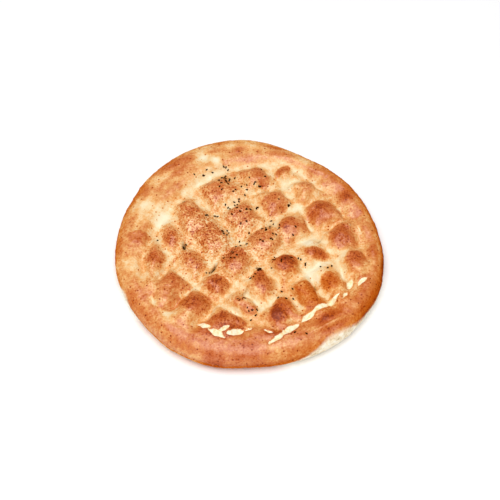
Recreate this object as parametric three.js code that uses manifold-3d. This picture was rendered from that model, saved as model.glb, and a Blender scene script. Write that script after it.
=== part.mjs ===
// Ramadan pide: a round leavened flatbread with a thick rim. Fingertips pressed two families of
// curved lines into the dough, so that pillows rose between them. The crust tore along the front
// of the rim as the loaf rose, and nigella seeds stick to the top.
// Millimetres, +Z up. The origin is on the table, under the middle of the loaf, and the front is -Y.
import * as THREE from "three";
import { mergeVertices } from "three/addons/utils/BufferGeometryUtils.js";
import Module from "manifold-3d";

// The loaf from the side
const DIAMETER = 280;
const CROWN_HEIGHT = 26.5; // top of the rim and of a middling pillow
const WIDEST_HEIGHT = 12; // where the side bulges out furthest
const ROLL_WIDTH = 17; // how far in from the edge the rim rolls over
const TUCK_WIDTH = 9; // how far the side is tucked in at the table
const CROWN_UNEVENNESS = 1.1;
const CROWN_WAVE = 90;

// The outline seen from above: how many lobes, how far each reaches out, and towards which angle
const OUTLINE_LOBES = [
  { lobes: 2, reach: 2.7, toward: -55 },
  { lobes: 3, reach: 2.4, toward: -13.5 },
  { lobes: 5, reach: 0.9, toward: 34 },
  { lobes: 7, reach: 0.65, toward: -12 },
];

// The ring that the side of the hand pressed, which parts the rim from the lattice
const RING_RADIUS = 107;
const RING_LOBES = [
  { lobes: 1, reach: 7, toward: -50 },
  { lobes: 2, reach: 5.5, toward: 38 },
  { lobes: 3, reach: 2.7, toward: -26 },
];
const RING_HALF_WIDTH = 7;
const RING_PRESS = 0.9; // share of the groove depth, where the ring is deepest
const RING_PRESS_TOWARD = 110;

// How far past the ring the lattice runs out into the rim, and over what width it fades
const LATTICE_REACH = 4;
const LATTICE_LOBES = [
  { lobes: 1, reach: 4, toward: 0 },
  { lobes: 2, reach: 5, toward: 0 },
];
const LATTICE_FADE = 10;

// The lattice. Each line runs in its family's direction: its offset from the middle, and how far
// it tilts and bends aside over BEND_SPAN.
const BEND_SPAN = 100;
const LATTICE = [
  {
    turn: 42,
    lines: [
      { offset: 94, tilt: 3.5, bend: -41 },
      { offset: 50, tilt: -1.5, bend: -27 },
      { offset: 7, tilt: -1, bend: -15 },
      { offset: -29.5, tilt: -5.5, bend: -16 },
      { offset: -65, tilt: 0, bend: -20 },
    ],
  },
  {
    turn: -55,
    lines: [
      { offset: -75, tilt: 12, bend: 26 },
      { offset: -46, tilt: 11, bend: 15 },
      { offset: -5, tilt: 6, bend: -2 },
      { offset: 33, tilt: -5, bend: -2 },
      { offset: 70, tilt: -10, bend: -3 },
      { offset: 105, tilt: 0, bend: -21 },
    ],
  },
];
const GROOVE_DEPTH = 6;
const GROOVE_HALF_WIDTH = 6.2;
const GROOVE_UNEVENNESS = 0.3;
const GROOVE_WAVE = 42;
const GROOVE_WANDER = 1.8;
const WANDER_WAVE = 27;
const FINGERTIP_PITCH = 21;
const FINGERTIP_SHARE = 0.25; // how much shallower the groove is between two fingertips
const PILLOW_PUFF = 1.3; // how much pillows differ in height
const DOME_RISE = 3; // how far a pillow's middle rises above its shoulders
const DOME_HALF_WIDTH = 12;
const DOME_FULL = 0.65;
const DOME_LEVEL = 0.6; // share of the dome that stands above the middling height

// Where two pillows rose into one, and how much of the groove between them is gone
const BRIDGE_DOMING = 0.7;
const BRIDGES = [
  { x: -51, y: 24, reach: 15, share: 0.95 },
  { x: 30, y: 12, reach: 11, share: 0.75 },
  { x: 2, y: -10, reach: 10, share: 0.6 },
  { x: -8, y: 70, reach: 12, share: 0.5 },
  { x: -94, y: -57, reach: 13, share: 0.8 },
  { x: 32, y: -86, reach: 13, share: 0.95 },
  { x: 57, y: -81, reach: 9, share: 0.7 },
  { x: 105, y: 20, reach: 10, share: 0.8 },
  { x: 102, y: -9, reach: 9, share: 0.6 },
  { x: 11, y: -36, reach: 6, share: 0.6 },
  { x: -104, y: -12, reach: 14, share: 0.6 },
];

// Tears in the crust: start, end, and half the width
const TEAR_DEPTH = 2;
const TEAR_STATIONS = 5;
const TEAR_BLUNTNESS = 0.5;
const TEAR_END = 0.08; // share of the width that is left at the two ends
const TEARS = [
  { from: [20, -121], to: [36, -106], half: 2.8 },
  { from: [30, -111], to: [51, -95], half: 3.3 },
  { from: [51, -96], to: [68, -79], half: 3.1 },
  { from: [61, -84], to: [79, -73], half: 2.8 },
  { from: [76, -78], to: [91, -59], half: 3.1 },
  { from: [94, -68], to: [100, -58], half: 2 },
  { from: [97, -59], to: [104, -40], half: 3.3 },
  { from: [107, -52], to: [122, -40], half: 2.8 },
  { from: [-52, -95], to: [-36, -102], half: 2.9 },
  { from: [-39, -103], to: [-21, -114], half: 3.3 },
  { from: [-22, -108], to: [-4, -101], half: 4.6 },
  { from: [14, -103], to: [26, -109], half: 2.2 },
  { from: [-5, -101], to: [4, -102], half: 1.6 },
];

// Nigella seeds, strewn by the pinch: where each pinch fell, how far it spread and its seeds
const SEED_SIZE = [2.9, 1.5, 1.3];
const SEED_SUNK = 0.45; // share of a seed's thickness that is under the crust
const SEED_DRAW = 7;
const SEED_EDGE_GAP = 14;
const PINCHES = [
  { x: -25, y: 84, spread: 5, seeds: 6 },
  { x: -23, y: 100, spread: 4, seeds: 3 },
  { x: -42, y: 93, spread: 9, seeds: 4 },
  { x: -57, y: 87, spread: 2, seeds: 2 },
  { x: -25, y: 73, spread: 9, seeds: 6 },
  { x: -7, y: 78, spread: 17, seeds: 7 },
  { x: -10, y: 62, spread: 12, seeds: 5 },
  { x: -67, y: 50, spread: 2, seeds: 2 },
  { x: -22, y: 51, spread: 9, seeds: 4 },
  { x: -12, y: 40, spread: 11, seeds: 7 },
  { x: -38, y: 29, spread: 10, seeds: 4 },
  { x: -24, y: 12, spread: 6, seeds: 6 },
  { x: 11, y: 82, spread: 13, seeds: 5 },
  { x: 40, y: 49, spread: 8, seeds: 5 },
  { x: 5, y: 45, spread: 6, seeds: 4 },
  { x: 26, y: 23, spread: 10, seeds: 6 },
  { x: 15, y: 15, spread: 6, seeds: 5 },
  { x: -2, y: 18, spread: 8, seeds: 3 },
  { x: 26, y: 4, spread: 5, seeds: 4 },
  { x: 14, y: -2, spread: 2, seeds: 2 },
  { x: -7, y: -1, spread: 7, seeds: 4 },
  { x: 46, y: 12, spread: 7, seeds: 2 },
  { x: -17, y: -20, spread: 9, seeds: 7 },
  { x: 11, y: -32, spread: 4, seeds: 8 },
  { x: 6, y: -40, spread: 5, seeds: 4 },
  { x: 29, y: -26, spread: 10, seeds: 7 },
  { x: 49, y: -19, spread: 6, seeds: 5 },
  { x: 61, y: -22, spread: 6, seeds: 2 },
  { x: 85, y: -31, spread: 12, seeds: 3 },
  { x: 40, y: -62, spread: 15, seeds: 5 },
  { x: 7, y: -84, spread: 10, seeds: 7 },
  { x: -8, y: -68, spread: 8, seeds: 5 },
  { x: -40, y: -36, spread: 3, seeds: 3 },
  { x: -66, y: -4, spread: 3, seeds: 3 },
  { x: -93, y: 3, spread: 2, seeds: 2 },
  { x: 52, y: -109, spread: 7, seeds: 3 },
];

// How finely the crust is faceted: rings of points, each with one more point a sector than the last
const SECTORS = 6;
const LATTICE_RINGS = 28;
const ROLL_RINGS = 3;
const TUCK_RINGS = 2;

const CRUST = new THREE.MeshStandardMaterial({ color: 0xd98a4c, roughness: 0.5, metalness: 0 });

const bump = (distance, half) => Math.exp(-((distance / half) ** 2));
const radians = THREE.MathUtils.degToRad;

function lobed(angle, mean, lobes) {
  return lobes.reduce(
    (radius, lobe) => radius + lobe.reach * Math.cos(lobe.lobes * (angle - radians(lobe.toward))),
    mean,
  );
}

const outlineRadius = (angle) => lobed(angle, DIAMETER / 2, OUTLINE_LOBES);

// Smooth unevenness from about -1 to 1: waves that cross at the golden angle
const GOLDEN_ANGLE = 137.5;
const WAVE_STRETCH = [1, 0.78, 1.31, 0.61];
const WAVE_SUM = 2.6;
const KIND_TURN = 61;
const KIND_PHASE = 1.7;
const WAVE_PHASE = 2.1;
function unevenness(x, y, wave, kind) {
  const waves = WAVE_STRETCH.map((stretch, k) => {
    const angle = radians(GOLDEN_ANGLE * (k + 1) + KIND_TURN * kind);
    const along = (x * Math.cos(angle) + y * Math.sin(angle)) / (wave * stretch);
    return Math.sin(2 * Math.PI * along + WAVE_PHASE * k + KIND_PHASE * kind);
  });
  return waves.reduce((sum, value) => sum + value) / WAVE_SUM;
}

// Where a point lies beside a pressed line: how far off it, and how far along it
function besideLine(x, y, turn, line) {
  const along = x * Math.cos(radians(turn)) + y * Math.sin(radians(turn));
  const across = y * Math.cos(radians(turn)) - x * Math.sin(radians(turn));
  const span = along / BEND_SPAN;
  const slope = (line.tilt + 2 * line.bend * span) / BEND_SPAN;
  const off = across - (line.offset + line.tilt * span + line.bend * span * span);
  return { off: off / Math.hypot(1, slope), along };
}

// From -1 to 1 for each pillow, in no order
const ROW_TURN = 12.9;
const COLUMN_TURN = 78.2;
const pillowDraw = (row, column) => Math.sin(ROW_TURN * row + COLUMN_TURN * column);

// What the fingertips did at a point: how far it is pressed down, from 0 to 1, how far its pillow
// rose above the others, how near it is to the pillow's middle, and whether it is in the lattice
function kneadedAt(x, y) {
  const angle = Math.atan2(y, x);
  const pastRing = Math.hypot(x, y) - lobed(angle, RING_RADIUS, RING_LOBES);
  const pastLattice = pastRing - lobed(angle, LATTICE_REACH, LATTICE_LOBES);
  const inside = 1 - THREE.MathUtils.smoothstep(pastLattice, -LATTICE_FADE, LATTICE_FADE);
  const half = GROOVE_HALF_WIDTH * (1 + GROOVE_UNEVENNESS * unevenness(x, y, GROOVE_WAVE, 1));
  const wanderedX = x + GROOVE_WANDER * unevenness(x, y, WANDER_WAVE, 2);
  const wanderedY = y + GROOVE_WANDER * unevenness(x, y, WANDER_WAVE, 3);
  let unpressed = 1;
  let clear = 1;
  let dome = 1;
  const pillow = LATTICE.map(({ turn, lines }) => {
    let linesPassed = 0;
    for (const line of lines) {
      const { off, along } = besideLine(wanderedX, wanderedY, turn, line);
      const fingertip = (1 - Math.cos((2 * Math.PI * along) / FINGERTIP_PITCH + line.offset)) / 2;
      const groove = bump(off, half);
      unpressed *= 1 - (1 - FINGERTIP_SHARE * fingertip) * groove;
      clear *= 1 - groove;
      dome *= 1 - bump(off, DOME_HALF_WIDTH);
      if (off > 0) linesPassed += 1;
    }
    return linesPassed;
  });
  let lattice = (1 - unpressed) * inside;
  for (const bridge of BRIDGES) {
    const joined = bridge.share * bump(Math.hypot(x - bridge.x, y - bridge.y), bridge.reach);
    lattice *= 1 - joined;
    clear += (1 - clear) * joined;
    dome += (1 - dome) * BRIDGE_DOMING * joined;
  }
  const swing = (1 + Math.cos(angle - radians(RING_PRESS_TOWARD))) / 2;
  const ring = RING_PRESS * swing ** 2 * bump(pastRing, RING_HALF_WIDTH);
  return {
    pressed: 1 - (1 - lattice) * (1 - ring),
    puff: PILLOW_PUFF * pillowDraw(...pillow) * clear * inside,
    dome: Math.min(1, dome / DOME_FULL),
    inside,
  };
}

// Height of the top crust, from the widest line of the side inwards
function heightAt(x, y) {
  const inFromEdge = Math.max(0, outlineRadius(Math.atan2(y, x)) - Math.hypot(x, y));
  const rolled = 1 - Math.min(inFromEdge, ROLL_WIDTH) / ROLL_WIDTH;
  const { pressed, puff, dome, inside } = kneadedAt(x, y);
  const doming = DOME_RISE * (dome - DOME_LEVEL) * inside;
  const crown = CROWN_HEIGHT + CROWN_UNEVENNESS * unevenness(x, y, CROWN_WAVE, 5) + puff + doming;
  const dent = GROOVE_DEPTH * pressed * THREE.MathUtils.smoothstep(inFromEdge, 0, ROLL_WIDTH);
  return WIDEST_HEIGHT + (crown - WIDEST_HEIGHT) * Math.sqrt(1 - rolled * rolled) - dent;
}

// A ring of points round the loaf: how far in from the outline, as a share of it and in
// millimetres, and the height of each point
function ringOfPoints(count, share, inset, heightOf) {
  return Array.from({ length: count }, (_, i) => {
    const angle = (2 * Math.PI * i) / count;
    const radius = (outlineRadius(angle) - inset) * share;
    const [x, y] = [radius * Math.cos(angle), radius * Math.sin(angle)];
    return new THREE.Vector3(x, y, heightOf(x, y));
  });
}

// The loaf's rings of points, from the middle of the top, over the rim and down to the table
function loafRings() {
  const rings = [[new THREE.Vector3(0, 0, heightAt(0, 0))]];
  for (let k = 1; k <= LATTICE_RINGS; k += 1) {
    rings.push(ringOfPoints(SECTORS * k, k / LATTICE_RINGS, ROLL_WIDTH, heightAt));
  }
  const count = SECTORS * LATTICE_RINGS;
  for (let k = 1; k <= ROLL_RINGS; k += 1) {
    const inset = ROLL_WIDTH * (1 - Math.sin((Math.PI / 2) * (k / ROLL_RINGS)));
    rings.push(ringOfPoints(count, 1, inset, heightAt));
  }
  for (let k = 1; k <= TUCK_RINGS; k += 1) {
    const turn = (Math.PI / 2) * (k / TUCK_RINGS);
    const height = WIDEST_HEIGHT * (1 - Math.sin(turn));
    rings.push(ringOfPoints(count, 1, TUCK_WIDTH * (1 - Math.cos(turn)), () => height));
  }
  return rings;
}

// Triangles between a ring of points and the next one out. On the top, each sector of a ring has
// one step more than the same sector of the ring inside it. Down the side they have the same.
function trianglesBetween(inner, outer) {
  const triangles = [];
  const innerSteps = Math.floor(inner.count / SECTORS);
  const outerSteps = outer.count / SECTORS;
  const onInner = (sector, step) => inner.start + ((sector * innerSteps + step) % inner.count);
  const onOuter = (sector, step) => outer.start + ((sector * outerSteps + step) % outer.count);
  for (let sector = 0; sector < SECTORS; sector += 1) {
    for (let step = 0; step < outerSteps; step += 1) {
      const near = onInner(sector, step);
      const far = onOuter(sector, step + 1);
      triangles.push(near, onOuter(sector, step), far);
      if (step < innerSteps) triangles.push(near, far, onInner(sector, step + 1));
    }
  }
  return triangles;
}

function loafGeometry() {
  const points = [];
  const triangles = [];
  let inner = null;
  for (const ring of loafRings()) {
    const outer = { start: points.length, count: ring.length };
    points.push(...ring);
    if (inner) triangles.push(...trianglesBetween(inner, outer));
    inner = outer;
  }
  const middle = points.push(new THREE.Vector3(0, 0, 0)) - 1;
  for (let k = 0; k < inner.count; k += 1) {
    triangles.push(middle, inner.start + ((k + 1) % inner.count), inner.start + k);
  }
  return new THREE.BufferGeometry().setFromPoints(points).setIndex(triangles);
}

// A wedge that cuts one tear: its keel lies under the crust at the tear's depth, its two flanks
// come up through the crust at the tear's edges, and it narrows to a point at the two ends
function tearGeometry({ from, to, half }) {
  const path = new THREE.LineCurve(new THREE.Vector2(...from), new THREE.Vector2(...to));
  const aside = path.getTangent(0).rotateAround(new THREE.Vector2(), Math.PI / 2);
  const points = [];
  for (let k = 0; k <= TEAR_STATIONS; k += 1) {
    const share = k / TEAR_STATIONS;
    const middle = path.getPoint(share);
    const open = half * Math.max(TEAR_END, Math.sin(Math.PI * share) ** TEAR_BLUNTNESS);
    const keel = new THREE.Vector3(middle.x, middle.y, heightAt(middle.x, middle.y) - TEAR_DEPTH);
    points.push(keel);
    for (const side of [-1, 1]) {
      const edge = middle.clone().addScaledVector(aside, side * open);
      const lip = new THREE.Vector3(edge.x, edge.y, heightAt(edge.x, edge.y));
      points.push(lip.multiplyScalar(2).sub(keel));
    }
  }
  const triangles = [0, 1, 2];
  for (let k = 0; k < TEAR_STATIONS; k += 1) {
    for (let side = 0; side < 3; side += 1) {
      const [a, b] = [3 * k + side, 3 * k + ((side + 1) % 3)];
      triangles.push(a, b + 3, b, a, a + 3, b + 3);
    }
  }
  const end = 3 * TEAR_STATIONS;
  triangles.push(end, end + 2, end + 1);
  return new THREE.BufferGeometry().setFromPoints(points).setIndex(triangles);
}

// Even draws from 0 to 1, the same on every run
const DRAW_FACTOR = 1664525;
const DRAW_STEP = 1013904223;
const DRAW_RANGE = 2 ** 32;
function drawsFrom(start) {
  let state = start;
  return () => {
    state = (Math.imul(state, DRAW_FACTOR) + DRAW_STEP) >>> 0;
    return state / DRAW_RANGE;
  };
}

// Where each seed fell and which way it points
function strewnSeeds() {
  const draw = drawsFrom(SEED_DRAW);
  const seeds = [];
  for (const pinch of PINCHES) {
    for (let k = 0; k < pinch.seeds; k += 1) {
      const angle = 2 * Math.PI * draw();
      const distance = pinch.spread * Math.sqrt(draw());
      const heading = 2 * Math.PI * draw();
      const x = pinch.x + distance * Math.cos(angle);
      const y = pinch.y + distance * Math.sin(angle);
      if (outlineRadius(Math.atan2(y, x)) - Math.hypot(x, y) < SEED_EDGE_GAP) continue;
      seeds.push({ x, y, heading });
    }
  }
  return seeds;
}

// A seed as an angular drop, laid on the crust where it fell
function seedGeometry({ x, y, heading }, loafMesh) {
  const above = new THREE.Vector3(x, y, 2 * CROWN_HEIGHT);
  const ray = new THREE.Raycaster(above, new THREE.Vector3(0, 0, -1));
  const [hit] = ray.intersectObject(loafMesh);
  const up = hit.face.normal;
  const lie = new THREE.Quaternion().setFromUnitVectors(new THREE.Vector3(0, 0, 1), up);
  const spin = new THREE.Quaternion().setFromAxisAngle(new THREE.Vector3(0, 0, 1), heading);
  const place = hit.point.clone().addScaledVector(up, SEED_SIZE[2] * (0.5 - SEED_SUNK));
  const half = new THREE.Vector3(...SEED_SIZE).multiplyScalar(0.5);
  const matrix = new THREE.Matrix4().compose(place, lie.multiply(spin), half);
  return new THREE.OctahedronGeometry(1, 0).applyMatrix4(matrix);
}

const wasm = await Module();
wasm.setup();

function solidOf(geometry) {
  const bare = geometry.clone();
  bare.deleteAttribute("normal");
  bare.deleteAttribute("uv");
  const merged = mergeVertices(bare);
  return new wasm.Manifold(
    new wasm.Mesh({
      numProp: 3,
      vertProperties: merged.attributes.position.array,
      triVerts: new Uint32Array(merged.index.array),
    }),
  );
}

function geometryOf(solid) {
  const { vertProperties, triVerts } = solid.getMesh();
  const geometry = new THREE.BufferGeometry();
  geometry.setAttribute("position", new THREE.BufferAttribute(vertProperties, 3));
  geometry.setIndex(new THREE.BufferAttribute(triVerts, 1));
  return geometry;
}

// The largest body of a solid, without the crumbs that a cut leaves or the pockets between seeds
function largestBody(solid) {
  return solid.decompose().reduce((largest, body) => (body.volume() > largest.volume() ? body : largest));
}

// The loaf with its tears cut and its seeds fused on, set down with its middle at the origin
function pideGeometry() {
  const loaf = solidOf(loafGeometry());
  const cut = TEARS.reduce((solid, tear) => solid.subtract(solidOf(tearGeometry(tear))), loaf);
  const torn = largestBody(cut);
  const loafMesh = new THREE.Mesh(geometryOf(torn));
  const whole = strewnSeeds().reduce(
    (solid, seed) => solid.add(solidOf(seedGeometry(seed, loafMesh))),
    torn,
  );
  const geometry = geometryOf(largestBody(whole));
  geometry.computeBoundingBox();
  const middle = geometry.boundingBox.getCenter(new THREE.Vector3());
  geometry.translate(-middle.x, -middle.y, 0);
  geometry.computeVertexNormals();
  return geometry;
}

const pide = new THREE.Mesh(pideGeometry(), CRUST);
pide.name = "pide";

const loaf = new THREE.Group();
loaf.add(pide);

export default loaf;
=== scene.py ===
"""The looks of a ramadan pide: its crust at full relief, browned as it baked, and its nigella seeds.

Lengths are in millimetres until a mesh is made, and metres after that. The middle of the lattice is
at x = y = 0 until the loaf is set down on the part's own box. Angles are in degrees, from the right
towards the back. Grain comes in layers: how much, how large, and which draw.
"""
import itertools
import math

import bpy
import numpy as np
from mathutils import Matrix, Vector


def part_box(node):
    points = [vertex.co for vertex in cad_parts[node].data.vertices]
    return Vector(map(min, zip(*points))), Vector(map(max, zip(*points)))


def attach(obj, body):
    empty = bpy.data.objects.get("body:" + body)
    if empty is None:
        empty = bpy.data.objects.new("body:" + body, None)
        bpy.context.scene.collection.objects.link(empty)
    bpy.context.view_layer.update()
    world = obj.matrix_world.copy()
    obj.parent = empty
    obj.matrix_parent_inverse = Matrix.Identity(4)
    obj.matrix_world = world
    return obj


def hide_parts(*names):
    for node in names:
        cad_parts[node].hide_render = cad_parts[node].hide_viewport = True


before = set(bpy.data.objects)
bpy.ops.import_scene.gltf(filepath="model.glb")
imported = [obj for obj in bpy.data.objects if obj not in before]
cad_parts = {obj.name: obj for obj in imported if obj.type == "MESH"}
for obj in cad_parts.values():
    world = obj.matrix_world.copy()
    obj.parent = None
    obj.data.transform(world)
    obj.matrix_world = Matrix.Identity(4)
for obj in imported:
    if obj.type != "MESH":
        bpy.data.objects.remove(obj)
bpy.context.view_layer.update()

MM = 0.001

# The loaf from the side: its width, the top of the rim, where the side bulges out furthest, how far in
# from the edge the rim rolls over, how far the side is tucked in at the table, and the swells of the top
DIAMETER = 280
CROWN_HEIGHT = 26.5
WIDEST_HEIGHT = 12
ROLL_WIDTH = 17
TUCK_WIDTH = 9
CROWN_UNEVENNESS = 1.1
CROWN_WAVE = 90
CROWN_DRAW = 5

# The outline seen from above: lobes, reach of each, and the angle that it reaches towards
OUTLINE_LOBES = [(2, 2.7, -55), (3, 2.4, -13.5), (5, 0.9, 34), (7, 0.65, -12)]

# The pressed ring between the rim and the lattice, which is deepest towards one side
RING_RADIUS = 107
RING_LOBES = [(1, 7, -50), (2, 5.5, 38), (3, 2.7, -26)]
RING_HALF_WIDTH = 7
RING_PRESS = 0.9
RING_PRESS_TOWARD = 110

# How far past the ring the lattice runs out into the rim, and over what width it fades
LATTICE_REACH = 4
LATTICE_LOBES = [(1, 4, 0), (2, 5, 0)]
LATTICE_FADE = 10

# The lattice: the direction of each family, then each line's offset, tilt and bend over BEND_SPAN
BEND_SPAN = 100
LATTICE = [
    (42, [(94, 3.5, -41), (50, -1.5, -27), (7, -1, -15), (-29.5, -5.5, -16), (-65, 0, -20)]),
    (-55, [(-75, 12, 26), (-46, 11, 15), (-5, 6, -2), (33, -5, -2), (70, -10, -3), (105, 0, -21)]),
]

# The grooves along those lines: their depth and width, how far the width varies, how far they wander
# aside, and how much shallower they are between two fingertips
GROOVE_DEPTH = 6
GROOVE_HALF_WIDTH = 6.2
GROOVE_UNEVENNESS = 0.3
GROOVE_WAVE = 42
GROOVE_DRAW = 1
GROOVE_WANDER = 1.8
WANDER_WAVE = 27
WANDER_DRAWS = (2, 3)
FINGERTIP_PITCH = 21
FINGERTIP_SHARE = 0.25

# The pillows between them: how far they differ in height, how far a middle rises above its shoulders,
# where its dome is full, and the share of the dome that stands above the middling height
PILLOW_PUFF = 1.3
DOME_RISE = 3
DOME_HALF_WIDTH = 12
DOME_FULL = 0.65
DOME_LEVEL = 0.6

# Where two pillows rose into one: x, y, reach, and the share of the groove that is gone. Their dome comes
# back by the share BRIDGE_DOMING of that.
BRIDGE_DOMING = 0.7
BRIDGES = [
    (-51, 24, 15, 0.95),
    (30, 12, 11, 0.75),
    (2, -10, 10, 0.6),
    (-8, 70, 12, 0.5),
    (-94, -57, 13, 0.8),
    (32, -86, 13, 0.95),
    (57, -81, 9, 0.7),
    (105, 20, 10, 0.8),
    (102, -9, 9, 0.6),
    (11, -36, 6, 0.6),
    (-104, -12, 14, 0.6),
]

# Tears in the crust: start, end and half the width. Their ends are blunt, their edges feathered and ragged,
# and the crust just outside them is browner. The side is clear of them by TEAR_CLEARANCE.
TEAR_DEPTH = 2
TEAR_FEATHER = 0.8
TEAR_BLUNTNESS = 0.6
TEAR_RAGS = [(0.95, 4, 2)]
TEAR_CLEARANCE = 3
TEAR_EDGE_BAKE = 0.12
TEAR_EDGE_WIDTH = 1.5
TEARS = [
    ((20, -121), (34, -111), 2.5),
    ((30, -113), (51, -97), 3.3),
    ((52, -96), (68, -81), 3.2),
    ((64, -84), (78, -75), 2.6),
    ((76, -79), (92, -63), 2.8),
    ((94, -70), (99, -62), 2.0),
    ((100, -57), (106, -43), 3.1),
    ((111, -53), (121, -44), 2.5),
    ((-50, -97), (-35, -103), 2.8),
    ((-39, -104), (-21, -115), 3.0),
    ((-28, -107), (-18, -102), 1.6),
    ((-20, -110), (-4, -104), 3.6),
    ((16, -105), (25, -109), 2.0),
    ((-3, -104), (4, -102), 1.5),
]

# Folds in the rim, where the dough was rolled over: start, end, half the width, height and browning. The
# paler line along the first fold's ridge is a painted highlight.
FOLDS = [
    # A raised ridge whose paler line is a painted highlight along its crest
    ((58, -110), (106, -85), 1.3, 1.8, -0.15),
    ((61, -114), (104, -90), 3, -1.2, 0.18),
    ((62, -100), (101, -80), 5, 0.6, 0.48),
]

# Slits where a fingertip went deep: x, y, half length, half width, turn, depth and how dark they are, as
# painted shade deep in each slit
SLITS = [
    (-35, -31, 6, 1.4, 65, 5, 1.3),
    (-66, -4, 5, 1.5, 95, 5, 1),
    (-4, -60, 6, 1.5, 55, 3, 0.35),
    (68, -53, 4, 1.1, -85, 3, 0.7),
    (75, 4, 5, 0.8, 55, 2, 0.4),
]

# Creases in the crust: x, y, half length, half width, turn, depth and browning. Browning above 0 darkens
# a crease as painted shade in its hollow; below 0 the crease is paler crust.
CREASES = [
    (80, 12, 9, 2.6, 40, 2.0, -0.1),
    (-76, -21, 5, 1.2, 60, 1.6, 0.3),
    (68, -51, 6, 2.6, -80, 2.6, 0.25),
    (48, -71, 9, 3.8, -70, 3.4, -0.09),
    (7, -73, 9, 3.6, -45, 2.4, -0.22),
    (21, -75, 9, 3.6, 35, 2.4, -0.22),
    (102, 30, 4, 1.6, 80, 1.6, 0.1),
    (65, 22, 9, 1.8, -68, 1.8, -0.2),
    (-94, -73, 5, 1.6, -75, 1.4, -0.2),
    (117, 16, 5, 1.2, -70, 1.2, -0.3),
    (96, -38, 7, 1.3, 95, 1.2, -0.3),
]

# Nigella seeds: their length, width and height, the share of the height that is sunk into the crust, and
# how far in from the edge they stop. A seed tapers to one end and has blunt corners round it.
SEED_SIZE = (3.0, 1.7, 1.4)
SEED_SUNK = 0.45
SEED_EDGE_GAP = 14
SEED_TAPER = 0.45
SEED_FULLNESS = 1.15
SEED_CORNERS = 3
SEED_CORNER_RISE = 0.13

# Pinches of seeds: where each fell, how far it spread and how many seeds it had
SEED_DRAW = 7
PINCHES = [
    (-25, 84, 5, 6),
    (-23, 100, 4, 3),
    (-42, 93, 9, 4),
    (-57, 87, 2, 2),
    (-25, 73, 9, 6),
    (-7, 78, 17, 7),
    (-10, 62, 12, 5),
    (-67, 50, 2, 2),
    (-22, 51, 9, 4),
    (-12, 40, 11, 7),
    (-38, 29, 10, 4),
    (-24, 12, 6, 6),
    (11, 82, 13, 5),
    (40, 49, 8, 5),
    (5, 45, 6, 4),
    (26, 23, 10, 6),
    (15, 15, 6, 5),
    (-2, 18, 8, 3),
    (26, 4, 5, 4),
    (14, -2, 2, 2),
    (-7, -1, 7, 4),
    (46, 12, 7, 2),
    (-17, -20, 9, 7),
    (11, -32, 4, 8),
    (6, -40, 5, 4),
    (29, -26, 10, 7),
    (49, -19, 6, 5),
    (61, -22, 6, 2),
    (85, -31, 12, 3),
    (40, -62, 15, 5),
    (7, -84, 10, 7),
    (-8, -68, 8, 5),
    (-40, -36, 3, 3),
    (-66, -4, 3, 3),
    (-93, 3, 2, 2),
    (52, -109, 7, 3),
]

# How brown the crust is, from 0, raw dough, to 1, nearly burnt: in the grooves, how much more beside them,
# and on the rim. The pressed ring is paler.
GROOVE_BAKE = 0.295
SHOULDER_BAKE = 0.2
RIM_BAKE = 0.49
RIM_BAKE_LOBES = [(1, 0.05, -35)]
RING_PALING = 0.3

# Uneven browning of the rim, of the lattice and of the whole crust
RIM_CLOUDS = [(0.12, 26, 8)]
LATTICE_CLOUDS = [(0.08, 18, 15)]
CRUST_CLOUDS = [(0.07, 9, 9), (0.05, 4, 10)]

# Streaks drawn out along the rim: their size, then how much they brown and wrinkle it, and which draw
STREAK_LENGTH = 26
STREAK_WIDTH = 5
STREAK_BROWNING = (0.15, 13)
STREAK_WRINKLES = (0.3, 14)

# Where the lower edge of the rim is darker, partly browner crust and partly painted shade along the
# outline: angle, width and how much
RIM_EDGES = [(35, 6.5, 0.18), (40, 2.5, 0.15), (-75, 12, 0.08), (140, 2.5, 0.1)]
LEAST_RIM_EDGE = 0.5

# How strongly the rim and the lattice are freckled, and where that is more: x, y, reach and how much
RIM_FRECKLES = 0.13
LATTICE_FRECKLES = 0.17
FRECKLED_SPOTS = [(-35, 8, 55, 0.24)]
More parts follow.
